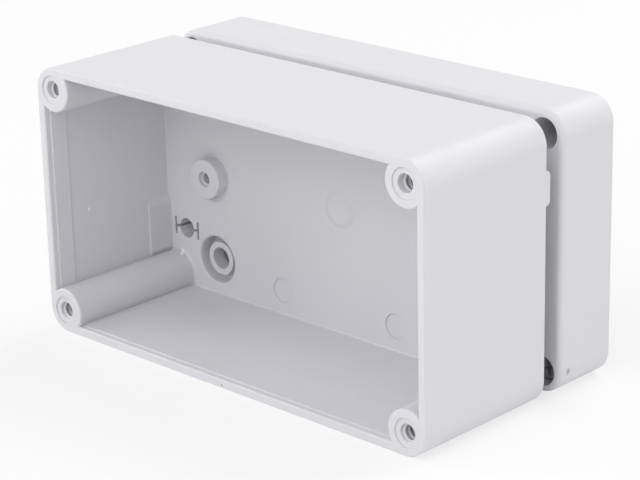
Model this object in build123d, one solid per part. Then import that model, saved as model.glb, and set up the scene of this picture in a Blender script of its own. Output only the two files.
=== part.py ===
from build123d import *
import os

# A small plastic instrument box shown apart. Millimetres, X along the length, Y from front to back, Z up.
# Both shells stand on their long side. The base opens to the front. The lid stands behind the base with its
# outer face to the front, so it is turned as it is when closed and only moved straight back.

# Overall sizes of the two mouldings
box_length = 146.5
box_width = 80.0
base_depth = 48.3
lid_depth = 21.8
corner_radius = 7.2
lid_stand_gap = 3.1

# Walls of the base
rim_land = 2.6
ledge_width = 0.4
ledge_depth = 1.85
end_wall_extra = 0.15
end_taper_depth = 7.3
end_taper_height = 0.2
base_floor = 2.6
rim_edge_radius = 0.45
mouth_edge_radius = 0.5
floor_edge_radius = 0.5
back_edge_radius = 0.6

# Screw posts in the four corners, the same places in base and lid
post_inset = 6.5
post_radius = 6.6
spot_face_radius = 4.15
spot_face_depth = 0.3
thread_bore_depth = 14.0
thread_bore_edge_radius = 0.35

# Bosses on the floor that carry a circuit board, one near each end
board_boss_from_end = 23.35
board_boss_radius = 6.05
board_boss_height = 4.0
board_boss_edge_radius = 0.4
board_hole_radius = 1.6
board_hole_depth = 5.2
board_mouth_radius = 2.3
board_mouth_depth = 1.2

# Wells for wall screws, one at each end of a diagonal, with a foot behind each
fixing_from_end = 23.55
fixing_from_side = 13.65
fixing_pocket_radius = 7.3
fixing_pocket_edge_radius = 0.5
fixing_tube_radius = 5.2
fixing_tube_bore_radius = 3.35
fixing_tube_edge_radius = 0.25
fixing_tube_sink = 1.5
fixing_pocket_web = 1.4
foot_wall = 1.1
foot_height = 3.6

# Slotted holes near the ends, each with a foot behind it and a thicker wall beside it
lug_hole_from_end = 10.65
lug_hole_from_side = 20.9
lug_hole_radius = 3.05
lug_slit_width = 0.8
lug_slit_offset = 4.8
lug_slit_height = 5.5
lug_foot_margin = 0.9
wall_block_height = 17.9
wall_block_thickness = 0.8
wall_block_depth = 8.7
wall_block_slope = 1.8

# Pads on the back, flush with the ends
end_pad_length = 4.8
end_pad_height = 9.7
end_pad_projection = 1.6
end_pad_from_side = 18.75
end_pad_corner_radius = 1.5
end_pad_edge_radius = 0.5

# Marks left by the mould on the floor: a low disc at the gate, and shallow recesses at the ejector pins
gate_mark_place = (1.4, 0.6)
gate_mark_radius = 5.6
gate_mark_height = 0.5
gate_mark_slope = 1.5
pin_mark_radius = 3.75
pin_mark_depth = 0.3
pin_mark_spacing = 44.2
pin_mark_from_side = 10.5

# Lid: top, edge, tongue that enters the base, and groove for the gasket
lid_top = 2.4
lid_edge_radius = 1.7
tongue_clearance = 0.15
tongue_thickness = 0.85
tongue_end_clearance = 0.35
gasket_width = 1.6
gasket_side_clearance = 0.05
gasket_proud = 0.3
groove_depth = 1.2
locating_ring_clearance = 0.1
locating_ring_end_clearance = 0.05

# Lid screws and their wells. A neck behind each well keeps the screw in the lid when it is drawn forward.
well_depth = 13.0
neck_length = 2.0
head_radius = 3.5
head_side_clearance = 0.875
head_height = 3.0
head_edge_radius = 0.35
head_seat_gap = 0.05
recess_arm_width = 1.2
recess_end_wall = 0.75
recess_depth = 1.6
recess_floor_length = 2.4
recess_floor_width = 0.9
shank_radius = 2.0
shank_running_clearance = 0.1
thread_radius = 2.4
thread_ridge = 0.55
thread_bore_clearance = 0.1
thread_relief_clearance = 0.4
thread_start_past_rim = 0.2
neck_stop_gap = 0.35
tip_projection = 5.0
tip_taper = 1.0
tip_reduction = 0.65

# Places along Y, worked out from the front of the base
overall_depth = base_depth + foot_height + lid_stand_gap + lid_depth + tip_projection
base_front = -overall_depth / 2
base_back = base_front + base_depth
spot_face = base_front + spot_face_depth
floor_face = base_back - base_floor
boss_face = floor_face - board_boss_height
fixing_tube_face = floor_face + fixing_tube_sink
foot_face = base_back + foot_height
lid_front = foot_face + lid_stand_gap
lid_rim = lid_front + lid_depth
well_floor = lid_front + well_depth
neck_back = well_floor + neck_length
thread_front = lid_rim + thread_start_past_rim
tongue_end = lid_rim + ledge_depth - tongue_end_clearance
locating_ring_end = lid_rim + spot_face_depth - locating_ring_end_clearance

# Places in X and Z, measured from the middle of the box
half_length = box_length / 2
half_width = box_width / 2
post_x = half_length - post_inset
post_z = half_width - post_inset
fixing_place = (half_length - fixing_from_end, half_width - fixing_from_side)
lug_hole_place = (half_length - lug_hole_from_end, half_width - lug_hole_from_side)
board_boss_place = (half_length - board_boss_from_end, 0)
thread_bore_radius = thread_radius + thread_bore_clearance
same_size = 0.001
corners = {
    "lower_left": (-post_x, -post_z),
    "lower_right": (post_x, -post_z),
    "upper_left": (-post_x, post_z),
    "upper_right": (post_x, post_z),
}

# How far each lid screw is turned, in degrees, and which of them lie drawn forward in their wells
screw_turns = {"lower_left": 48.0, "lower_right": 13.0, "upper_left": 62.0, "upper_right": 41.0}
forward_screws = ["lower_right"]


def drawing_plane(depth):
    """Plane across the box at a depth, with its origin in the middle of the box."""
    return Plane(origin=(0, depth, half_width), x_dir=(1, 0, 0), z_dir=(0, -1, 0))


def half_turned(place):
    """A place in X and Z and its copy after half a turn about the middle: lower left, then upper right."""
    x, z = place
    return [Pos(-x, -z) * Rot(0, 0, 180), Pos(x, z)]


def through(face, start, end):
    """Solid with the given face, drawn in X and Z about the middle of the box, between two depths."""
    return extrude(drawing_plane(start) * face, amount=start - end)


def inner_radius(inset):
    """Corner radius of an outline set in from the outside of the box."""
    return max(corner_radius - inset, 0.4)


def outer_outline():
    return RectangleRounded(box_length, box_width, corner_radius)


def cavity_outline(inset_x, inset_z):
    """Inside of the base at one depth: the walls' inner faces less the four posts."""
    inside = RectangleRounded(
        box_length - 2 * inset_x, box_width - 2 * inset_z, inner_radius(inset_z)
    )
    for x, z in corners.values():
        inside -= Pos(x, z) * Circle(post_radius)
    return inside


def mouth_outline():
    """Opening at the rim, which the tongue and the gasket of the lid follow."""
    return cavity_outline(rim_land, rim_land)


def rounded_block(start, end, front_radius, back_radius):
    """Outer block of a shell, its front and back edges rounded."""
    block = through(outer_outline(), start, end)
    if front_radius:
        block = fillet(block.faces().sort_by(Axis.Y)[0].edges(), front_radius)
    if back_radius:
        block = fillet(block.faces().sort_by(Axis.Y)[-1].edges(), back_radius)
    return block


def base_hollow():
    """Space inside the base, narrower behind the ledge, with a rounded edge round the floor."""
    inset = rim_land + ledge_width
    hollow = through(cavity_outline(inset + end_wall_extra, inset), base_front, floor_face)
    hollow = fillet(hollow.faces().sort_by(Axis.Y)[-1].edges(), floor_edge_radius)
    return hollow + through(mouth_outline(), base_front, base_front + ledge_depth)


def hollowed(block):
    """The outer block with the space inside cut out and the inner edge of its rim rounded."""
    shell = block - base_hollow()
    rim = shell.faces().sort_by(Axis.Y)[0]
    return fillet(rim.inner_wires()[0].edges(), mouth_edge_radius)


def end_tapers():
    """Slopes on the end walls that narrow the base from the ledge inwards and end in a fine step."""
    inset = rim_land + ledge_width
    wall_face = half_length - inset - end_wall_extra
    start = base_front + ledge_depth
    end = base_front + end_taper_depth
    profile = Polygon(
        (wall_face + ledge_width, start),
        (wall_face, start),
        (wall_face - end_taper_height, end),
        (wall_face + ledge_width, end),
        align=None,
    )
    slope = extrude(Pos(0, 0, inset) * profile, amount=box_width - 2 * inset, dir=(0, 0, 1))
    return [slope, mirror(slope, about=Plane.YZ)]


def end_pads():
    """Two pads on the back, flush with the ends, in half-turn symmetry."""
    outline = Rectangle(end_pad_length, end_pad_height)
    pads = []
    for place in half_turned((half_length - end_pad_length / 2, half_width - end_pad_from_side)):
        pad = through(place * outline, base_back - base_floor / 2, base_back + end_pad_projection)
        for axis, radius in ((Axis.X, end_pad_corner_radius), (Axis.Z, end_pad_edge_radius)):
            pad = fillet(pad.faces().sort_by(Axis.Y)[-1].edges().filter_by(axis), radius)
        pads.append(pad)
    return pads


def round_feet():
    """Round feet on the back, behind the wells for the wall screws and behind the slotted holes."""
    lug_reach = (lug_slit_offset + lug_slit_width / 2, lug_slit_height / 2)
    lug_foot_radius = (lug_reach[0] ** 2 + lug_reach[1] ** 2) ** 0.5 + lug_foot_margin
    feet = []
    for centre, radius in (
        (fixing_place, fixing_pocket_radius + foot_wall),
        (lug_hole_place, lug_foot_radius),
    ):
        for place in half_turned(centre):
            feet.append(through(place * Circle(radius), base_back - base_floor / 2, foot_face))
    return feet


def cut_fixing_wells(base):
    """Pockets in the floor, each round a tube that a wall screw passes through."""
    for place in half_turned(fixing_place):
        base -= through(place * Circle(fixing_pocket_radius), floor_face, foot_face - fixing_pocket_web)
        base += through(place * Circle(fixing_tube_radius), fixing_tube_face, foot_face)
        base -= through(place * Circle(fixing_tube_bore_radius), floor_face, foot_face)
    return base


def cut_lug_slots(base):
    """Holes near the ends with a slit on each side, joined to the hole in the shape of an H."""
    slot = Circle(lug_hole_radius) + Rectangle(2 * lug_slit_offset, lug_slit_width)
    for side in (-1, 1):
        slot += Pos(side * lug_slit_offset, 0) * Rectangle(lug_slit_width, lug_slit_height)
    for place in half_turned(lug_hole_place):
        base -= through(place * slot, floor_face, foot_face)
    return base


def wall_blocks():
    """Thicker stretches of the end walls beside the slotted holes, run out above and below."""
    wall_face = half_length - rim_land - ledge_width - end_wall_extra
    half_height = wall_block_height / 2
    outline = Polygon(
        (ledge_width, -half_height),
        (ledge_width, half_height),
        (0, half_height),
        (-wall_block_thickness, half_height - wall_block_slope),
        (-wall_block_thickness, wall_block_slope - half_height),
        (0, -half_height),
        align=None,
    )
    start = floor_face - wall_block_depth
    end = floor_face + base_floor / 2
    return [through(place * outline, start, end) for place in half_turned((wall_face, lug_hole_place[1]))]


def add_board_bosses(base):
    """Bosses on the floor with a stepped hole for a self-cutting screw."""
    for place in half_turned(board_boss_place):
        base += through(place * Circle(board_boss_radius), boss_face, floor_face + base_floor / 2)
        base -= through(place * Circle(board_mouth_radius), boss_face, boss_face + board_mouth_depth)
        base -= through(place * Circle(board_hole_radius), boss_face, boss_face + board_hole_depth)
    return base


def add_mould_marks(base):
    """Round marks of the gate and the ejector pins on the floor."""
    gate = Pos(*gate_mark_place)
    foot = drawing_plane(floor_face) * gate * Circle(gate_mark_radius)
    top = drawing_plane(floor_face - gate_mark_height) * gate * Circle(gate_mark_radius - gate_mark_slope)
    base += loft([foot, top])
    for side in (-1, 1):
        for place in half_turned((side * pin_mark_spacing / 2, half_width - pin_mark_from_side)):
            base -= through(place * Circle(pin_mark_radius), floor_face, floor_face + pin_mark_depth)
    return base


def cut_post_bores(base):
    """Screw holes in the posts, each with a shallow spot face round its mouth."""
    for x, z in corners.values():
        place = Pos(x, z)
        base -= through(place * Circle(spot_face_radius), base_front, spot_face)
        base -= through(place * Circle(thread_bore_radius), base_front, base_front + thread_bore_depth)
    return base


def round_circular_edges(base):
    """Rounds the mouths of the screw holes and wells and the rims of the tubes and bosses."""
    for depth, radius, rounding in (
        (spot_face, thread_bore_radius, thread_bore_edge_radius),
        (boss_face, board_boss_radius, board_boss_edge_radius),
        (floor_face, fixing_pocket_radius, fixing_pocket_edge_radius),
        (fixing_tube_face, fixing_tube_radius, fixing_tube_edge_radius),
        (fixing_tube_face, fixing_tube_bore_radius, fixing_tube_edge_radius),
    ):
        circles = base.edges().filter_by(GeomType.CIRCLE)
        at_depth = circles.filter_by_position(Axis.Y, depth - same_size, depth + same_size)
        chosen = [edge for edge in at_depth if abs(edge.radius - radius) < same_size]
        base = fillet(chosen, rounding)
    return base


def base_shell():
    """The base, one moulding."""
    base = hollowed(rounded_block(base_front, base_back, rim_edge_radius, back_edge_radius))
    for extra in end_tapers() + wall_blocks() + end_pads() + round_feet():
        base += extra
    base = cut_fixing_wells(base)
    base = cut_lug_slots(base)
    base = add_board_bosses(base)
    base = add_mould_marks(base)
    base = cut_post_bores(base)
    return round_circular_edges(base)


def cut_screw_wells(lid):
    """Wells for the screw heads, necks for their shanks and wider holes for the threads."""
    well = Circle(head_radius + head_side_clearance)
    neck = Circle(shank_radius + shank_running_clearance)
    relief = Circle(thread_radius + thread_relief_clearance)
    for x, z in corners.values():
        place = Pos(x, z)
        lid -= through(place * well, lid_front, well_floor)
        lid -= through(place * neck, lid_front, neck_back)
        lid -= through(place * relief, neck_back, locating_ring_end)
    return lid


def lid_shell():
    """The lid, one moulding, its tongue and rim to the back."""
    mouth = mouth_outline()
    inside = offset(mouth, -(tongue_clearance + tongue_thickness), kind=Kind.INTERSECTION)
    tongue = offset(mouth, -tongue_clearance, kind=Kind.INTERSECTION)
    groove = offset(mouth, gasket_width + gasket_side_clearance, kind=Kind.ARC)
    lid = rounded_block(lid_front, lid_rim, lid_edge_radius, rim_edge_radius)
    lid += through(tongue, lid_rim - groove_depth, tongue_end)
    lid -= through(groove - mouth, lid_rim - groove_depth, lid_rim)
    for x, z in corners.values():
        ring = Pos(x, z) * Circle(spot_face_radius - locating_ring_clearance)
        lid += through(ring, lid_rim - groove_depth, locating_ring_end)
    lid -= through(inside, lid_front + lid_top, tongue_end)
    return cut_screw_wells(lid)


def lid_gasket():
    """Soft ring in the groove of the lid, a little proud of the rim."""
    mouth = mouth_outline()
    ring = offset(mouth, gasket_width, kind=Kind.ARC) - offset(mouth, gasket_side_clearance, kind=Kind.ARC)
    return through(ring, lid_rim - groove_depth, lid_rim + gasket_proud)


def recess_arm(angle, head_front):
    """One arm of the cross recess, its ends and sides sloping to a smaller floor."""
    mouth = Rectangle(2 * (head_radius - recess_end_wall), recess_arm_width)
    floor = Rectangle(recess_floor_length, recess_floor_width)
    return loft([
        drawing_plane(head_front) * Rot(0, 0, angle) * mouth,
        drawing_plane(head_front + recess_depth) * Rot(0, 0, angle) * floor,
    ])


def lid_screw(x, z, turn, forward):
    """A captive plastic screw: head with a cross recess, plain shank, core of the thread and tip."""
    head_back = well_floor - head_seat_gap
    head_front = head_back - head_height
    taper_front = lid_rim + tip_projection - tip_taper
    core_radius = thread_radius - thread_ridge
    shift = neck_back + neck_stop_gap - thread_front if forward else 0
    head = through(Circle(head_radius), head_front, head_back)
    screw = fillet(head.faces().sort_by(Axis.Y)[0].edges(), head_edge_radius)
    screw += through(Circle(shank_radius), head_back, thread_front)
    screw += through(Circle(core_radius), thread_front, taper_front)
    taper_start = drawing_plane(taper_front) * Circle(core_radius)
    taper_end = drawing_plane(taper_front + tip_taper) * Circle(core_radius - tip_reduction)
    screw += loft([taper_start, taper_end])
    for angle in (turn, turn + 90):
        screw -= recess_arm(angle, head_front)
    return Pos(x, shift, z) * screw


def write_parts():
    os.makedirs("parts", exist_ok=True)
    export_step(base_shell(), "parts/base_shell.step")
    export_step(lid_shell(), "parts/lid_shell.step")
    export_step(lid_gasket(), "parts/lid_gasket.step")
    for corner, (x, z) in corners.items():
        screw = lid_screw(x, z, screw_turns[corner], corner in forward_screws)
        export_step(screw, f"parts/lid_screw_{corner}.step")


write_parts()
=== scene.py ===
"""Looks of a small moulded instrument box shown apart: finishes, screw threads, gasket, studio and camera.

Lengths are in metres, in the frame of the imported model: X along the box, Y from front to back, Z up.
"""

import logging
import math
from dataclasses import dataclass, field
from enum import Enum
from typing import Iterable, Sequence

import bpy
from mathutils import Euler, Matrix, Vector


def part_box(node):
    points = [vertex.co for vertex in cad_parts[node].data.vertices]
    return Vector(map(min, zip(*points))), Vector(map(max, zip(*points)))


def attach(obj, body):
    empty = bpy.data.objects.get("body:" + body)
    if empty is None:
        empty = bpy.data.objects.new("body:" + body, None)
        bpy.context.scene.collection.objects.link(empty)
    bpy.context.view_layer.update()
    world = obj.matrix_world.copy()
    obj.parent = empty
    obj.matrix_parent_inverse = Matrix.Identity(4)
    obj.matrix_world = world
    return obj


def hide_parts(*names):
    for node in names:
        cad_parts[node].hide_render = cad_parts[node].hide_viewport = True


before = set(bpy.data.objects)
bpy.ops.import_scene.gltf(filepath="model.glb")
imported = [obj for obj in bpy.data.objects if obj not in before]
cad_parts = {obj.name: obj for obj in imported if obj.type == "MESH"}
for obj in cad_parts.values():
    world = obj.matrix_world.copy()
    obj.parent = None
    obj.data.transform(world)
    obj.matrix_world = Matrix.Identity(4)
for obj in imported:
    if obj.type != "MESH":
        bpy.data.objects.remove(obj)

MM = 0.001
LOG = logging.getLogger("instrument_box")

Triple = tuple[float, float, float]
Colour = tuple[float, float, float, float]
Point = tuple[float, float]

QUARTER_TURN = math.pi / 2
Z_TO_Y_TURN: Triple = (-QUARTER_TURN, 0.0, 0.0)
WHITE: Colour = (1.0, 1.0, 1.0, 1.0)

# Sockets of a Mix node that mixes colours: the node has others of the same names.
MIX_FIRST_COLOUR = 6
MIX_SECOND_COLOUR = 7
MIX_RESULT_COLOUR = 2

# Most of a noise's values lie between these two.
NOISE_LOW = 0.3
NOISE_HIGH = 0.7

# A mark's edge is roughened by noise of this scale and share, and fades between two shares of its radius.
MARK_EDGE_SCALE = 4000.0
MARK_EDGE_SHARE = 0.5
MARK_FADE_START = 0.95
MARK_FADE_END = 1.35

# Height that is left of a thread ridge at its very ends, as a share of the full height.
RIDGE_END_SHARE = 0.08
SEAL_EDGE_STEPS = 5
BEVEL_SAMPLES = 4


class Slot(Enum):
    """Names of material slots."""

    SHELL = "shell_plastic"
    SCREW = "screw_plastic"
    GASKET = "gasket_rubber"


class Corner(Enum):
    """Corners of the box, each with a post, a well and a lid screw."""

    LOWER_LEFT = "lower_left"
    LOWER_RIGHT = "lower_right"
    UPPER_LEFT = "upper_left"
    UPPER_RIGHT = "upper_right"

    @property
    def screw_node(self) -> str:
        """Name of the CAD node of this corner's screw."""
        return f"lid_screw_{self.value}"

    @property
    def screw_body(self) -> str:
        """Name of the body that turns with this corner's screw."""
        return f"screw_{self.value}"

    def centre(self) -> Vector:
        """Middle of this corner's screw at rest."""
        low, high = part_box(self.screw_node)
        return (low + high) / 2


class Graph:
    """Short calls that build one node tree."""

    def __init__(self, tree: bpy.types.NodeTree) -> None:
        """Keeps the tree.

        Args:
            tree: the shader, world or geometry tree to build in.
        """
        self.tree = tree

    def add(self, kind: str, inputs: dict[str, object] | None = None, **settings: object) -> bpy.types.Node:
        """Adds a node.

        Args:
            kind: the node's type name.
            inputs: values or sockets for its inputs, by name.
            settings: attributes of the node itself.

        Returns:
            The new node.
        """
        node = self.tree.nodes.new(kind)
        for name, value in settings.items():
            setattr(node, name, value)
        for name, value in (inputs or {}).items():
            self.feed(node.inputs[name], value)
        return node

    def feed(self, socket: bpy.types.NodeSocket, value: object) -> None:
        """Sets an input to a constant, or links it to an output socket.

        Args:
            socket: the input.
            value: a constant or an output socket.
        """
        if isinstance(value, bpy.types.NodeSocket):
            self.tree.links.new(value, socket)
        else:
            socket.default_value = value

    def math(self, operation: str, *values: object, clamp: bool = False) -> bpy.types.NodeSocket:
        """Adds a Math node.

        Args:
            operation: the node's operation.
            values: constants or sockets, in order.
            clamp: keep the result between 0 and 1.

        Returns:
            The result's socket.
        """
        node = self.add("ShaderNodeMath", operation=operation, use_clamp=clamp)
        for socket, value in zip(node.inputs, values):
            self.feed(socket, value)
        return node.outputs[0]

    def vector_math(self, operation: str, *values: object) -> bpy.types.Node:
        """Adds a Vector Math node.

        Args:
            operation: the node's operation.
            values: constants or sockets, in order.

        Returns:
            The node, whose outputs are Vector and Value.
        """
        node = self.add("ShaderNodeVectorMath", operation=operation)
        for socket, value in zip(node.inputs, values):
            self.feed(socket, value)
        return node

    def map_range(self, value: object, low: float, high: float, to_low: float, to_high: float
                  ) -> bpy.types.NodeSocket:
        """Maps a value from one range to another, clamped.

        Args:
            value: the value or its socket.
            low: start of the range it comes from.
            high: end of the range it comes from.
            to_low: result at the start.
            to_high: result at the end.

        Returns:
            The result's socket.
        """
        node = self.add("ShaderNodeMapRange", clamp=True)
        for name, number in (("From Min", low), ("From Max", high), ("To Min", to_low), ("To Max", to_high)):
            node.inputs[name].default_value = number
        self.feed(node.inputs["Value"], value)
        return node.outputs["Result"]


class EffectGroup:
    """A shader effect shared by several materials: one node group with named inputs and outputs."""

    def __init__(self, name: str, inputs: Sequence[tuple[str, str]],
                 outputs: Sequence[tuple[str, str]]) -> None:
        """Makes the empty group.

        Args:
            name: name of the group.
            inputs: name and socket type of each input.
            outputs: name and socket type of each output.
        """
        self.tree = bpy.data.node_groups.new(name, "ShaderNodeTree")
        for label, kind in inputs:
            self.tree.interface.new_socket(label, in_out="INPUT", socket_type=kind)
        for label, kind in outputs:
            self.tree.interface.new_socket(label, in_out="OUTPUT", socket_type=kind)
        self.graph = Graph(self.tree)
        self.source = self.tree.nodes.new("NodeGroupInput").outputs
        self.result = self.tree.nodes.new("NodeGroupOutput").inputs

    def place(self, graph: Graph, **values: object) -> dict[str, bpy.types.NodeSocket]:
        """Places the group in a material.

        Args:
            graph: the material's graph.
            values: inputs by name, with underscores for spaces.

        Returns:
            The group's outputs by name.
        """
        node = graph.add("ShaderNodeGroup", node_tree=self.tree)
        for name, value in values.items():
            graph.feed(node.inputs[name.replace("_", " ")], value)
        return {socket.name: socket for socket in node.outputs}


def build_tone_drift() -> EffectGroup:
    """Slow drift of tone over a moulding, as the melt flows and cools.

    Returns:
        The group, with output Colour.
    """
    group = EffectGroup(
        "tone_drift",
        [("Vector", "NodeSocketVector"), ("Tone", "NodeSocketColor"), ("Amount", "NodeSocketFloat"),
         ("Scale", "NodeSocketFloat")],
        [("Colour", "NodeSocketColor")],
    )
    graph, source = group.graph, group.source
    cloud = graph.add(
        "ShaderNodeTexNoise",
        {"Vector": source["Vector"], "Scale": source["Scale"], "Detail": 3.0, "Roughness": 0.55},
    )
    drift = graph.map_range(cloud.outputs["Fac"], NOISE_LOW, NOISE_HIGH, -1.0, 1.0)
    gain = graph.math("MULTIPLY_ADD", drift, source["Amount"], 1.0)
    toned = graph.vector_math("SCALE", source["Tone"])
    graph.feed(toned.inputs["Scale"], gain)
    graph.feed(group.result["Colour"], toned.outputs["Vector"])
    return group


def build_moulded_grain() -> EffectGroup:
    """Fine grain that a spark-eroded mould leaves, over a slight waviness.

    Returns:
        The group, with outputs Height and Gloss, both about 0 to 1.
    """
    group = EffectGroup(
        "moulded_grain",
        [("Vector", "NodeSocketVector"), ("Grain Scale", "NodeSocketFloat"),
         ("Wave Scale", "NodeSocketFloat"), ("Wave Share", "NodeSocketFloat")],
        [("Height", "NodeSocketFloat"), ("Gloss", "NodeSocketFloat")],
    )
    graph, source = group.graph, group.source
    grain = graph.add(
        "ShaderNodeTexNoise",
        {"Vector": source["Vector"], "Scale": source["Grain Scale"], "Detail": 2.0, "Roughness": 0.6},
    )
    wave = graph.add(
        "ShaderNodeTexNoise",
        {"Vector": source["Vector"], "Scale": source["Wave Scale"], "Detail": 1.0, "Roughness": 0.4},
    )
    mix = graph.add("ShaderNodeMix", {"Factor": source["Wave Share"]}, data_type="FLOAT")
    graph.feed(mix.inputs["A"], grain.outputs["Fac"])
    graph.feed(mix.inputs["B"], wave.outputs["Fac"])
    graph.feed(group.result["Height"], mix.outputs["Result"])
    graph.feed(group.result["Gloss"], wave.outputs["Fac"])
    return group


def build_spot() -> EffectGroup:
    """A small round mark with an uneven edge at one place.

    Returns:
        The group, with output Mask: 1 inside the mark.
    """
    group = EffectGroup(
        "spot",
        [("Vector", "NodeSocketVector"), ("Place", "NodeSocketVector"), ("Stretch", "NodeSocketVector"),
         ("Radius", "NodeSocketFloat")],
        [("Mask", "NodeSocketFloat")],
    )
    graph, source = group.graph, group.source
    offset = graph.vector_math("SUBTRACT", source["Vector"], source["Place"])
    stretched = graph.vector_math("DIVIDE", offset.outputs["Vector"], source["Stretch"])
    distance = graph.vector_math("LENGTH", stretched.outputs["Vector"]).outputs["Value"]
    ragged = graph.add(
        "ShaderNodeTexNoise", {"Vector": source["Vector"], "Scale": MARK_EDGE_SCALE, "Detail": 1.0}
    )
    share = graph.math("DIVIDE", distance, source["Radius"])
    uneven = graph.math("MULTIPLY_ADD", ragged.outputs["Fac"], MARK_EDGE_SHARE, share)
    graph.feed(group.result["Mask"], graph.map_range(uneven, MARK_FADE_START, MARK_FADE_END, 1.0, 0.0))
    return group


@dataclass(frozen=True)
class Effects:
    """The shader groups, each built once and used by every finish that needs it."""

    tone_drift: EffectGroup = field(default_factory=build_tone_drift)
    moulded_grain: EffectGroup = field(default_factory=build_moulded_grain)
    spot: EffectGroup = field(default_factory=build_spot)


@dataclass(frozen=True)
class Mark:
    """A speck of dirt, a small scar, a painted highlight where a burr or edge catches light, or painted
    shade in a nick, on a moulding.

    The Y of its place is measured from the moulding's front face. Stretch lengthens it along each axis.
    """

    place: Triple
    radius: float
    colour: Colour
    stretch: Triple = (1.0, 1.0, 1.0)

    def centre(self, front: float) -> Triple:
        """Place of the mark in the frame.

        Args:
            front: Y of the moulding's front face.

        Returns:
            The mark's centre.
        """
        return (self.place[0], front + self.place[1], self.place[2])


@dataclass(frozen=True)
class MouldedFinish:
    """Finish of a moulded piece: its tone with a slow drift, satin gloss and fine grain."""

    name: str
    tone: Colour
    roughness: float
    roughness_spread: float = 0.05
    drift_amount: float = 0.012
    drift_scale: float = 22.0
    grain_scale: float = 2600.0
    wave_scale: float = 60.0
    wave_share: float = 0.35
    relief: float = 0.02 * MM
    relief_strength: float = 0.25
    edge_softness: float = 0.3 * MM
    ior: float = 1.5
    marks: tuple[Mark, ...] = ()

    def material(self, effects: Effects, front: float = 0.0) -> bpy.types.Material:
        """Builds the material.

        Args:
            effects: the shared shader groups.
            front: Y of the moulding's front face, which its marks are measured from.

        Returns:
            The material, reading Object coordinates.
        """
        material = bpy.data.materials.new(self.name)
        material.use_nodes = True
        graph = Graph(material.node_tree)
        shader = material.node_tree.nodes["Principled BSDF"]
        shader.inputs["IOR"].default_value = self.ior
        place = graph.add("ShaderNodeTexCoord").outputs["Object"]
        toned = effects.tone_drift.place(
            graph, Vector=place, Tone=self.tone, Amount=self.drift_amount, Scale=self.drift_scale
        )
        colour = toned["Colour"]
        for mark in self.marks:
            colour = self.with_mark(graph, effects, place, colour, mark, mark.centre(front))
        graph.feed(shader.inputs["Base Color"], colour)
        grain = effects.moulded_grain.place(
            graph, Vector=place, Grain_Scale=self.grain_scale, Wave_Scale=self.wave_scale,
            Wave_Share=self.wave_share,
        )
        low = self.roughness - self.roughness_spread
        high = self.roughness + self.roughness_spread
        roughness = graph.map_range(grain["Gloss"], NOISE_LOW, NOISE_HIGH, low, high)
        graph.feed(shader.inputs["Roughness"], roughness)
        soft_edges = graph.add("ShaderNodeBevel", {"Radius": self.edge_softness}, samples=BEVEL_SAMPLES)
        bump = graph.add(
            "ShaderNodeBump",
            {"Strength": self.relief_strength, "Distance": self.relief, "Height": grain["Height"],
             "Normal": soft_edges.outputs["Normal"]},
        )
        graph.feed(shader.inputs["Normal"], bump.outputs["Normal"])
        return material

    @staticmethod
    def with_mark(graph: Graph, effects: Effects, place: bpy.types.NodeSocket,
                  colour: bpy.types.NodeSocket, mark: Mark, centre: Triple) -> bpy.types.NodeSocket:
        """Lays one mark over a colour.

        Args:
            graph: the material's graph.
            effects: the shared shader groups.
            place: Object coordinates.
            colour: the colour so far.
            mark: the mark to lay on it.
            centre: the mark's centre in the frame.

        Returns:
            The colour with the mark.
        """
        spot = effects.spot.place(
            graph, Vector=place, Place=centre, Stretch=mark.stretch, Radius=mark.radius
        )
        mix = graph.add("ShaderNodeMix", data_type="RGBA")
        graph.feed(mix.inputs["Factor"], spot["Mask"])
        graph.feed(mix.inputs[MIX_FIRST_COLOUR], colour)
        graph.feed(mix.inputs[MIX_SECOND_COLOUR], mark.colour)
        return mix.outputs[MIX_RESULT_COLOUR]


DIRT: Colour = (0.10, 0.095, 0.09, 1.0)
# Near-white painted highlight: stands in for the light that a burr or edge catches, not the plastic's
# colour.
PAINTED_BURR_GLINT: Colour = (0.95, 0.95, 0.96, 1.0)
# Grey painted shade: stands in for the shade in a small nick, not for wear.
PAINTED_NICK_SHADE: Colour = (0.55, 0.53, 0.56, 1.0)
SCAR: Colour = (0.42, 0.4, 0.43, 1.0)
SHELL_TONE: Colour = (0.686, 0.679, 0.708, 1.0)

BASE_FINISH = MouldedFinish(
    name="base_plastic",
    tone=SHELL_TONE,
    roughness=0.45,
    marks=(
        Mark((-1.2 * MM, 0.0, 1.05 * MM), 0.26 * MM, DIRT),
        # Painted highlight where a burr on the inner left wall catches light.
        Mark((-70.1 * MM, 13.9 * MM, 33.6 * MM), 0.5 * MM, PAINTED_BURR_GLINT, (1.0, 0.7, 1.3)),
        # Painted glint streak where the lower-left post meets the floor, laid as four overlapping flecks.
        Mark((-64.9 * MM, 45.7 * MM, 13.3 * MM), 0.35 * MM, PAINTED_BURR_GLINT, (1.0, 1.5, 1.8)),
        Mark((-64.65 * MM, 45.3 * MM, 13.0 * MM), 0.45 * MM, PAINTED_BURR_GLINT, (0.8, 1.1, 2.2)),
        Mark((-64.4 * MM, 44.7 * MM, 12.9 * MM), 0.5 * MM, PAINTED_BURR_GLINT, (0.8, 1.0, 2.2)),
        Mark((-63.9 * MM, 44.2 * MM, 12.7 * MM), 0.5 * MM, PAINTED_BURR_GLINT, (0.9, 1.1, 2.2)),
        # Painted shade of a small nick at the joint of the floor and the bottom wall.
        Mark((-35.0 * MM, 45.3 * MM, 2.7 * MM), 0.4 * MM, PAINTED_NICK_SHADE),
    ),
)
LID_FINISH = MouldedFinish(
    name="lid_plastic",
    tone=SHELL_TONE,
    roughness=0.45,
    marks=(Mark((73.25 * MM, 3.4 * MM, 6.8 * MM), 0.75 * MM, SCAR, (1.0, 1.2, 1.3)),),
)
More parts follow.
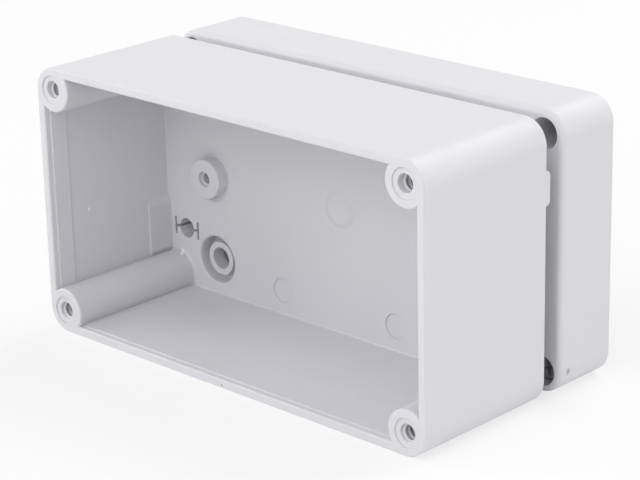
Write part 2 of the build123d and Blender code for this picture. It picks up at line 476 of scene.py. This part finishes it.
SCREW_FINISH = MouldedFinish(
    name="screw_plastic_dark",
    tone=(0.27, 0.264, 0.28, 1.0),
    roughness=0.34,
    drift_amount=0.06,
    drift_scale=300.0,
    relief_strength=0.4,
    edge_softness=0.1 * MM,
)
GASKET_FINISH = MouldedFinish(
    name="gasket_soft",
    tone=(0.028, 0.028, 0.03, 1.0),
    roughness=0.72,
    drift_amount=0.10,
    drift_scale=400.0,
    grain_scale=5200.0,
    relief_strength=0.5,
)


class PieceTree:
    """A geometry node tree with named inputs that ends in Realize Instances and Set Material."""

    def __init__(self, name: str, sizes: Sequence[tuple[str, str]]) -> None:
        """Makes the empty tree.

        Args:
            name: name of the tree.
            sizes: name and socket type of each input after Geometry.
        """
        self.tree = bpy.data.node_groups.new(name, "GeometryNodeTree")
        self.tree.interface.new_socket("Geometry", in_out="INPUT", socket_type="NodeSocketGeometry")
        for label, kind in sizes:
            self.tree.interface.new_socket(label, in_out="INPUT", socket_type=kind)
        self.tree.interface.new_socket("Geometry", in_out="OUTPUT", socket_type="NodeSocketGeometry")
        self.graph = Graph(self.tree)
        self.source = self.tree.nodes.new("NodeGroupInput").outputs
        self.output = self.tree.nodes.new("NodeGroupOutput").inputs["Geometry"]

    def end(self, geometry: bpy.types.NodeSocket) -> None:
        """Realizes the instances, sets the material and closes the tree.

        Args:
            geometry: the finished geometry.
        """
        real = self.graph.add("GeometryNodeRealizeInstances", {"Geometry": geometry})
        dressed = self.graph.add(
            "GeometryNodeSetMaterial", {"Geometry": real.outputs[0], "Material": self.source["Material"]}
        )
        self.graph.feed(self.output, dressed.outputs[0])

    def grow(self, name: str, seed_mesh: bpy.types.Mesh, sharp_angle: float, **values: object
             ) -> bpy.types.Object:
        """Runs the tree on a mesh and keeps the result as a plain mesh.

        Args:
            name: name of the piece.
            seed_mesh: the points or the path that the tree starts from.
            sharp_angle: angle in radians past which an edge is shaded sharp.
            values: inputs by name, with underscores for spaces.

        Returns:
            The piece, at the origin and with no modifier.
        """
        piece = bpy.data.objects.new(name, seed_mesh)
        bpy.context.scene.collection.objects.link(piece)
        modifier = piece.modifiers.new(self.tree.name, "NODES")
        modifier.node_group = self.tree
        for item in self.tree.interface.items_tree:
            key = item.name.replace(" ", "_")
            if item.in_out == "INPUT" and key in values:
                modifier[item.identifier] = values[key]
        view = bpy.context.evaluated_depsgraph_get()
        grown = bpy.data.meshes.new_from_object(piece.evaluated_get(view))
        grown.name = name
        piece.modifiers.clear()
        piece.data = grown
        bpy.data.meshes.remove(seed_mesh)
        grown.polygons.foreach_set("use_smooth", [True] * len(grown.polygons))
        grown.set_sharp_from_angle(angle=sharp_angle)
        return piece


def build_thread_ridge() -> PieceTree:
    """Right-handed ridge of a screw thread, grown from each point along +Y.

    Returns:
        The tree. A crest radius under the root radius gives the thread of a bore.
    """
    ridge = PieceTree(
        "thread_ridge",
        [("Root Radius", "NodeSocketFloat"), ("Crest Radius", "NodeSocketFloat"),
         ("Pitch", "NodeSocketFloat"), ("Turns", "NodeSocketFloat"),
         ("Root Width", "NodeSocketFloat"), ("Crest Width", "NodeSocketFloat"),
         ("Points per Turn", "NodeSocketInt"), ("Run Out", "NodeSocketFloat"),
         ("Material", "NodeSocketMaterial")],
    )
    graph, source = ridge.graph, ridge.source
    rise = graph.math("SUBTRACT", source["Crest Radius"], source["Root Radius"])
    outwards = graph.math("SIGN", rise)
    spiral = graph.add(
        "GeometryNodeCurveSpiral",
        {"Resolution": source["Points per Turn"], "Rotations": source["Turns"],
         "Start Radius": source["Root Radius"], "End Radius": source["Root Radius"],
         "Height": graph.math("MULTIPLY", source["Pitch"], source["Turns"]), "Reverse": True},
    )
    upright = graph.add("GeometryNodeSetCurveNormal", {"Curve": spiral.outputs[0]}, mode="Z_UP")
    along = graph.add("GeometryNodeSplineParameter").outputs["Factor"]
    to_end = graph.math("MINIMUM", along, graph.math("SUBTRACT", 1.0, along))
    turns_to_end = graph.math("MULTIPLY", to_end, source["Turns"])
    fade = graph.math("DIVIDE", turns_to_end, source["Run Out"], clamp=True)
    size = graph.math("MAXIMUM", fade, RIDGE_END_SHARE)
    section = graph.add(
        "GeometryNodeCurvePrimitiveQuadrilateral",
        {"Bottom Width": source["Root Width"], "Top Width": source["Crest Width"], "Offset": 0.0,
         "Height": graph.math("ABSOLUTE", rise)},
        mode="TRAPEZOID",
    )
    turn = graph.add("ShaderNodeCombineXYZ", {"Z": graph.math("MULTIPLY", outwards, -QUARTER_TURN)})
    root_to_middle = graph.add("ShaderNodeCombineXYZ", {"X": graph.math("MULTIPLY", rise, 0.5)})
    turned = graph.add(
        "GeometryNodeTransform",
        {"Geometry": section.outputs[0], "Rotation": turn.outputs[0],
         "Translation": root_to_middle.outputs[0]},
    )
    swept = graph.add(
        "GeometryNodeCurveToMesh",
        {"Curve": upright.outputs[0], "Profile Curve": turned.outputs[0], "Scale": size, "Fill Caps": True},
    )
    placed = graph.add(
        "GeometryNodeInstanceOnPoints",
        {"Points": source["Geometry"], "Instance": swept.outputs[0], "Rotation": Z_TO_Y_TURN},
    )
    ridge.end(placed.outputs[0])
    return ridge


def build_seal_section() -> PieceTree:
    """Seal with rounded edges swept along a closed path drawn in X and Y, then stood up into X and Z.

    Returns:
        The tree.
    """
    seal = PieceTree(
        "seal_section",
        [("Width", "NodeSocketFloat"), ("Height", "NodeSocketFloat"), ("Edge Radius", "NodeSocketFloat"),
         ("Depth", "NodeSocketFloat"), ("Material", "NodeSocketMaterial")],
    )
    graph, source = seal.graph, seal.source
    path = graph.add("GeometryNodeMeshToCurve", {"Mesh": source["Geometry"]})
    upright = graph.add("GeometryNodeSetCurveNormal", {"Curve": path.outputs[0]}, mode="Z_UP")
    section = graph.add(
        "GeometryNodeCurvePrimitiveQuadrilateral",
        {"Width": source["Width"], "Height": source["Height"]}, mode="RECTANGLE",
    )
    rounded = graph.add(
        "GeometryNodeFilletCurve",
        {"Curve": section.outputs[0], "Radius": source["Edge Radius"], "Count": SEAL_EDGE_STEPS,
         "Limit Radius": True},
        mode="POLY",
    )
    swept = graph.add(
        "GeometryNodeCurveToMesh", {"Curve": upright.outputs[0], "Profile Curve": rounded.outputs[0]}
    )
    lift = graph.add("ShaderNodeCombineXYZ", {"Y": source["Depth"]})
    stood = graph.add(
        "GeometryNodeTransform",
        {"Geometry": swept.outputs[0], "Translation": lift.outputs[0], "Rotation": Z_TO_Y_TURN},
    )
    seal.end(stood.outputs[0])
    return seal


def points_mesh(name: str, places: Iterable[Vector]) -> bpy.types.Mesh:
    """Mesh of loose points.

    Args:
        name: name of the mesh.
        places: where the points lie.

    Returns:
        The mesh.
    """
    mesh = bpy.data.meshes.new(name)
    mesh.from_pydata([tuple(place) for place in places], [], [])
    return mesh


def loop_mesh(name: str, outline: Sequence[Point]) -> bpy.types.Mesh:
    """Mesh of one closed line in X and Y.

    Args:
        name: name of the mesh.
        outline: the line's points in order.

    Returns:
        The mesh.
    """
    mesh = bpy.data.meshes.new(name)
    count = len(outline)
    edges = [(index, (index + 1) % count) for index in range(count)]
    mesh.from_pydata([(x, y, 0.0) for x, y in outline], edges, [])
    return mesh


def dress(node: str, material: bpy.types.Material) -> None:
    """Gives a CAD node its material.

    Args:
        node: name of the CAD node.
        material: the material for all of it.
    """
    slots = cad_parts[node].data.materials
    slots.clear()
    slots.append(material)


@dataclass
class BaseShell:
    """The deep base with its four posts."""

    node: str = "base_shell"
    body: str = "base"
    bore_radius: float = 2.5 * MM
    crest_radius: float = 1.92 * MM
    thread_starts: dict[Corner, float] = field(default_factory=lambda: {
        Corner.LOWER_LEFT: 0.9 * MM,
        Corner.LOWER_RIGHT: 0.9 * MM,
        Corner.UPPER_LEFT: 1.45 * MM,
        Corner.UPPER_RIGHT: 2.0 * MM,
    })
    pitch: float = 1.8 * MM
    turns: float = 6.0
    root_width: float = 0.95 * MM
    crest_width: float = 0.3 * MM
    root_sink: float = 0.04 * MM
    run_out: float = 0.3
    points_per_turn: int = 40
    sharp_angle: float = math.radians(35)

    def build(self, effects: Effects, threads: PieceTree) -> list[str]:
        """Dresses the moulding and adds the threads of its screw bores.

        Args:
            effects: the shared shader groups.
            threads: the tree that makes thread ridges.

        Returns:
            Names of the pieces made.
        """
        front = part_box(self.node)[0].y
        material = BASE_FINISH.material(effects, front)
        dress(self.node, material)
        starts = [
            Vector((corner.centre().x, front + depth, corner.centre().z))
            for corner, depth in self.thread_starts.items()
        ]
        piece = threads.grow(
            "post_bore_threads", points_mesh("bore_starts", starts), self.sharp_angle,
            Root_Radius=self.bore_radius + self.root_sink, Crest_Radius=self.crest_radius,
            Pitch=self.pitch, Turns=self.turns, Root_Width=self.root_width, Crest_Width=self.crest_width,
            Points_per_Turn=self.points_per_turn, Run_Out=self.run_out, Material=material,
        )
        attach(piece, self.body)
        return [piece.name]


@dataclass
class LidShell:
    """The shallow lid with its four screw wells and its tongue."""

    node: str = "lid_shell"

    def build(self, effects: Effects) -> list[str]:
        """Dresses the moulding.

        Args:
            effects: the shared shader groups.

        Returns:
            Names of the pieces made.
        """
        dress(self.node, LID_FINISH.material(effects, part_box(self.node)[0].y))
        return [self.node]


@dataclass
class LidGasket:
    """Soft seal in the groove of the lid's rim, led round the inside of the screw posts."""

    node: str = "lid_gasket"
    body: str = "lid"
    post_radius: float = 6.6 * MM
    width: float = 1.5 * MM
    side_clearance: float = 0.05 * MM
    edge_radius: float = 0.55 * MM
    arc_step: float = math.radians(6)
    sharp_angle: float = math.radians(50)

    def arc(self, centre: Point, radius: float, start: float, end: float) -> list[Point]:
        """Points along an arc, both ends included.

        Args:
            centre: centre of the arc.
            radius: its radius.
            start: angle of its first point, in radians.
            end: angle of its last point, in radians.

        Returns:
            The points in order.
        """
        count = max(2, math.ceil(abs(end - start) / self.arc_step))
        angles = [start + (end - start) * index / count for index in range(count + 1)]
        return [(centre[0] + radius * math.cos(a), centre[1] + radius * math.sin(a)) for a in angles]

    def corner_path(self, post: Point, to_wall: float) -> list[Point]:
        """Path of the seal's middle round one post, for the corner at +X and +Y about the middle of the box.

        Args:
            post: centre of the post.
            to_wall: distance from the post's centre to the inner face of each wall.

        Returns:
            Points from the wall at +X, inwards round the post, to the wall at +Y.
        """
        off = self.side_clearance + self.width / 2
        lean = math.asin(to_wall / self.post_radius)
        reach = self.post_radius * math.cos(lean)
        first_nook = (post[0] + to_wall, post[1] - reach)
        last_nook = (post[0] - reach, post[1] + to_wall)
        start = -QUARTER_TURN + lean
        end = math.pi - lean
        path = self.arc(first_nook, off, 0.0, start + math.pi)
        path += self.arc(post, self.post_radius - off, start, end - 2 * math.pi)
        path += self.arc(last_nook, off, end - math.pi, QUARTER_TURN)
        return path

    def outline(self) -> list[Point]:
        """Closed middle line of the seal in X and -Z, about the frame's origin.

        Returns:
            The points in order.
        """
        low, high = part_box(self.node)
        middle = (low + high) / 2
        off = self.side_clearance + self.width / 2
        half_x = (high.x - low.x) / 2 - self.width / 2 - off
        half_z = (high.z - low.z) / 2 - self.width / 2 - off
        screw = Corner.UPPER_RIGHT.centre() - middle
        to_wall = half_x - screw.x
        corner = self.corner_path((screw.x, half_z - to_wall), to_wall)
        points = list(corner)
        points += [(-x, y) for x, y in reversed(corner)]
        points += [(-x, -y) for x, y in corner]
        points += [(x, -y) for x, y in reversed(corner)]
        return [(middle.x + x, y - middle.z) for x, y in points]

    def build(self, effects: Effects, seals: PieceTree) -> list[str]:
        """Makes the seal and puts it in the place of the plain CAD ring.

        Args:
            effects: the shared shader groups.
            seals: the tree that sweeps the seal's section.

        Returns:
            Names of the pieces made.
        """
        low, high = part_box(self.node)
        piece = seals.grow(
            "rim_seal", loop_mesh("seal_path", self.outline()), self.sharp_angle,
            Width=self.width, Height=high.y - low.y, Edge_Radius=self.edge_radius,
            Depth=(low.y + high.y) / 2, Material=GASKET_FINISH.material(effects),
        )
        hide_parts(self.node)
        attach(piece, self.body)
        return [piece.name]


@dataclass
class LidScrews:
    """Four captive plastic screws with a coarse thread."""

    core_radius: float = 1.85 * MM
    thread_radius: float = 2.4 * MM
    pitch: float = 1.8 * MM
    thread_length: float = 3.9 * MM
    tip_gap: float = 0.6 * MM
    root_width: float = 0.9 * MM
    crest_width: float = 0.25 * MM
    root_sink: float = 0.05 * MM
    run_out: float = 0.5
    points_per_turn: int = 40
    sharp_angle: float = math.radians(35)

    def build(self, effects: Effects, threads: PieceTree) -> list[str]:
        """Dresses each screw and grows its thread.

        Args:
            effects: the shared shader groups.
            threads: the tree that makes thread ridges.

        Returns:
            Names of the pieces made.
        """
        material = SCREW_FINISH.material(effects)
        made = []
        for corner in Corner:
            dress(corner.screw_node, material)
            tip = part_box(corner.screw_node)[1].y
            centre = corner.centre()
            start = Vector((centre.x, tip - self.tip_gap - self.thread_length, centre.z))
            piece = threads.grow(
                f"screw_thread_{corner.value}", points_mesh("thread_start", [start]), self.sharp_angle,
                Root_Radius=self.core_radius - self.root_sink, Crest_Radius=self.thread_radius,
                Pitch=self.pitch, Turns=self.thread_length / self.pitch, Root_Width=self.root_width,
                Crest_Width=self.crest_width, Points_per_Turn=self.points_per_turn, Run_Out=self.run_out,
                Material=material,
            )
            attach(piece, corner.screw_body)
            made.append(piece.name)
        return made


@dataclass(frozen=True)
class Softbox:
    """A large soft lamp aimed at the box."""

    name: str
    place: Triple
    width: float
    height: float
    power: float
    aim: Triple = (0.0, 0.0, 0.04)

    def build(self) -> None:
        """Puts the lamp in the scene."""
        lamp = bpy.data.lights.new(self.name, "AREA")
        lamp.shape = "RECTANGLE"
        lamp.size = self.width
        lamp.size_y = self.height
        lamp.energy = self.power
        holder = bpy.data.objects.new(self.name, lamp)
        holder.location = self.place
        ray = Vector(self.aim) - Vector(self.place)
        holder.rotation_euler = ray.to_track_quat("-Z", "Y").to_euler()
        bpy.context.scene.collection.objects.link(holder)


@dataclass(frozen=True)
class Studio:
    """Plain white floor, soft surrounding light and softboxes."""

    surround: float = 0.14
    floor_half: float = 6.0
    floor_tone: Colour = (0.9, 0.9, 0.9, 1.0)
    floor_glow: float = 0.7
    softboxes: tuple[Softbox, ...] = (
        Softbox("back_high_softbox", (0.1, 0.9, 1.1), 1.2, 1.2, 11.8),
        Softbox("front_softbox", (0.2, -1.5, 0.7), 1.0, 1.0, 7.3),
        Softbox("front_high_softbox", (0.0, -0.9, 1.2), 1.8, 1.4, 7.7),
        Softbox("left_softbox", (-1.3, -0.6, 0.7), 1.0, 1.0, 10.0),
        Softbox("right_softbox", (1.3, -0.5, 0.7), 1.0, 1.0, 3.4),
        Softbox("right_back_softbox", (1.3, 0.7, 0.4), 1.0, 1.0, 6.4),
    )

    def build(self) -> None:
        """Builds the world, the floor and the lamps."""
        bpy.context.scene.view_settings.view_transform = "Standard"
        self.build_world()
        self.build_floor()
        for softbox in self.softboxes:
            softbox.build()

    @staticmethod
    def seen_directly(graph: Graph) -> bpy.types.NodeSocket:
        """Mask of the rays that see the backdrop: from the camera, by reflection or through glass.

        Args:
            graph: the tree to add the mask to.

        Returns:
            The mask's socket.
        """
        path = graph.add("ShaderNodeLightPath")
        camera = path.outputs["Is Camera Ray"]
        mirror = graph.math(
            "MAXIMUM", path.outputs["Is Glossy Ray"], path.outputs["Is Transmission Ray"]
        )
        return graph.math("MAXIMUM", camera, mirror)

    def build_world(self) -> None:
        """Even light all round, white where it is seen."""
        world = bpy.data.worlds.new("soft_surround")
        bpy.context.scene.world = world
        world.use_nodes = True
        graph = Graph(world.node_tree)
        world.node_tree.nodes.clear()
        light = graph.add("ShaderNodeBackground", {"Color": WHITE, "Strength": self.surround})
        white = graph.add("ShaderNodeBackground", {"Color": WHITE, "Strength": 1.0})
        mix = graph.add("ShaderNodeMixShader", {"Fac": self.seen_directly(graph)})
        graph.feed(mix.inputs[1], light.outputs[0])
        graph.feed(mix.inputs[2], white.outputs[0])
        graph.add("ShaderNodeOutputWorld", {"Surface": mix.outputs[0]})

    def build_floor(self) -> None:
        """A white floor that keeps a soft shadow."""
        half = self.floor_half
        mesh = bpy.data.meshes.new("floor")
        corners = [(-half, -half, 0), (half, -half, 0), (half, half, 0), (-half, half, 0)]
        mesh.from_pydata(corners, [], [(0, 1, 2, 3)])
        floor = bpy.data.objects.new("floor", mesh)
        bpy.context.scene.collection.objects.link(floor)
        material = bpy.data.materials.new("floor_white")
        material.use_nodes = True
        graph = Graph(material.node_tree)
        material.node_tree.nodes.clear()
        matt = graph.add("ShaderNodeBsdfDiffuse", {"Color": self.floor_tone})
        glow = graph.add("ShaderNodeEmission", {"Color": WHITE, "Strength": 1.0})
        share = graph.math("MULTIPLY", self.seen_directly(graph), self.floor_glow)
        mix = graph.add("ShaderNodeMixShader", {"Fac": share})
        graph.feed(mix.inputs[1], matt.outputs[0])
        graph.feed(mix.inputs[2], glow.outputs[0])
        graph.add("ShaderNodeOutputMaterial", {"Surface": mix.outputs[0]})
        mesh.materials.append(material)


@dataclass(frozen=True)
class PhotoCamera:
    """Camera at the photograph's angle, the Y of its place measured from the base's front rim."""

    place: Triple = (0.42210, -0.39741, 0.24784)
    tilt_deg: float = 70.516
    roll_deg: float = 1.258
    heading_deg: float = 43.607
    lens_mm: float = 128.57
    sensor_mm: float = 36.0
    clip_start: float = 0.01
    clip_end: float = 50.0

    def build(self) -> None:
        """Puts the camera in the scene and makes it the scene's camera."""
        data = bpy.data.cameras.new("photo_camera")
        data.lens = self.lens_mm
        data.sensor_width = self.sensor_mm
        data.clip_start = self.clip_start
        data.clip_end = self.clip_end
        camera = bpy.data.objects.new("photo_camera", data)
        camera.location = Vector(self.place) + Vector((0.0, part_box("base_shell")[0].y, 0.0))
        angles = (self.tilt_deg, self.roll_deg, self.heading_deg)
        camera.rotation_euler = Euler([math.radians(angle) for angle in angles], "XYZ")
        bpy.context.scene.collection.objects.link(camera)
        bpy.context.scene.camera = camera


def main() -> None:
    """Builds every sub-assembly in order and gathers the names of the pieces made."""
    logging.basicConfig(level=logging.INFO, format="%(name)s: %(message)s")
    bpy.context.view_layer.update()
    PhotoCamera().build()
    Studio().build()
    effects = Effects()
    threads = build_thread_ridge()
    made = {
        "base": BaseShell().build(effects, threads),
        "lid": LidShell().build(effects),
        "gasket": LidGasket().build(effects, build_seal_section()),
        "screws": LidScrews().build(effects, threads),
    }


if __name__ == "__main__":
    main()
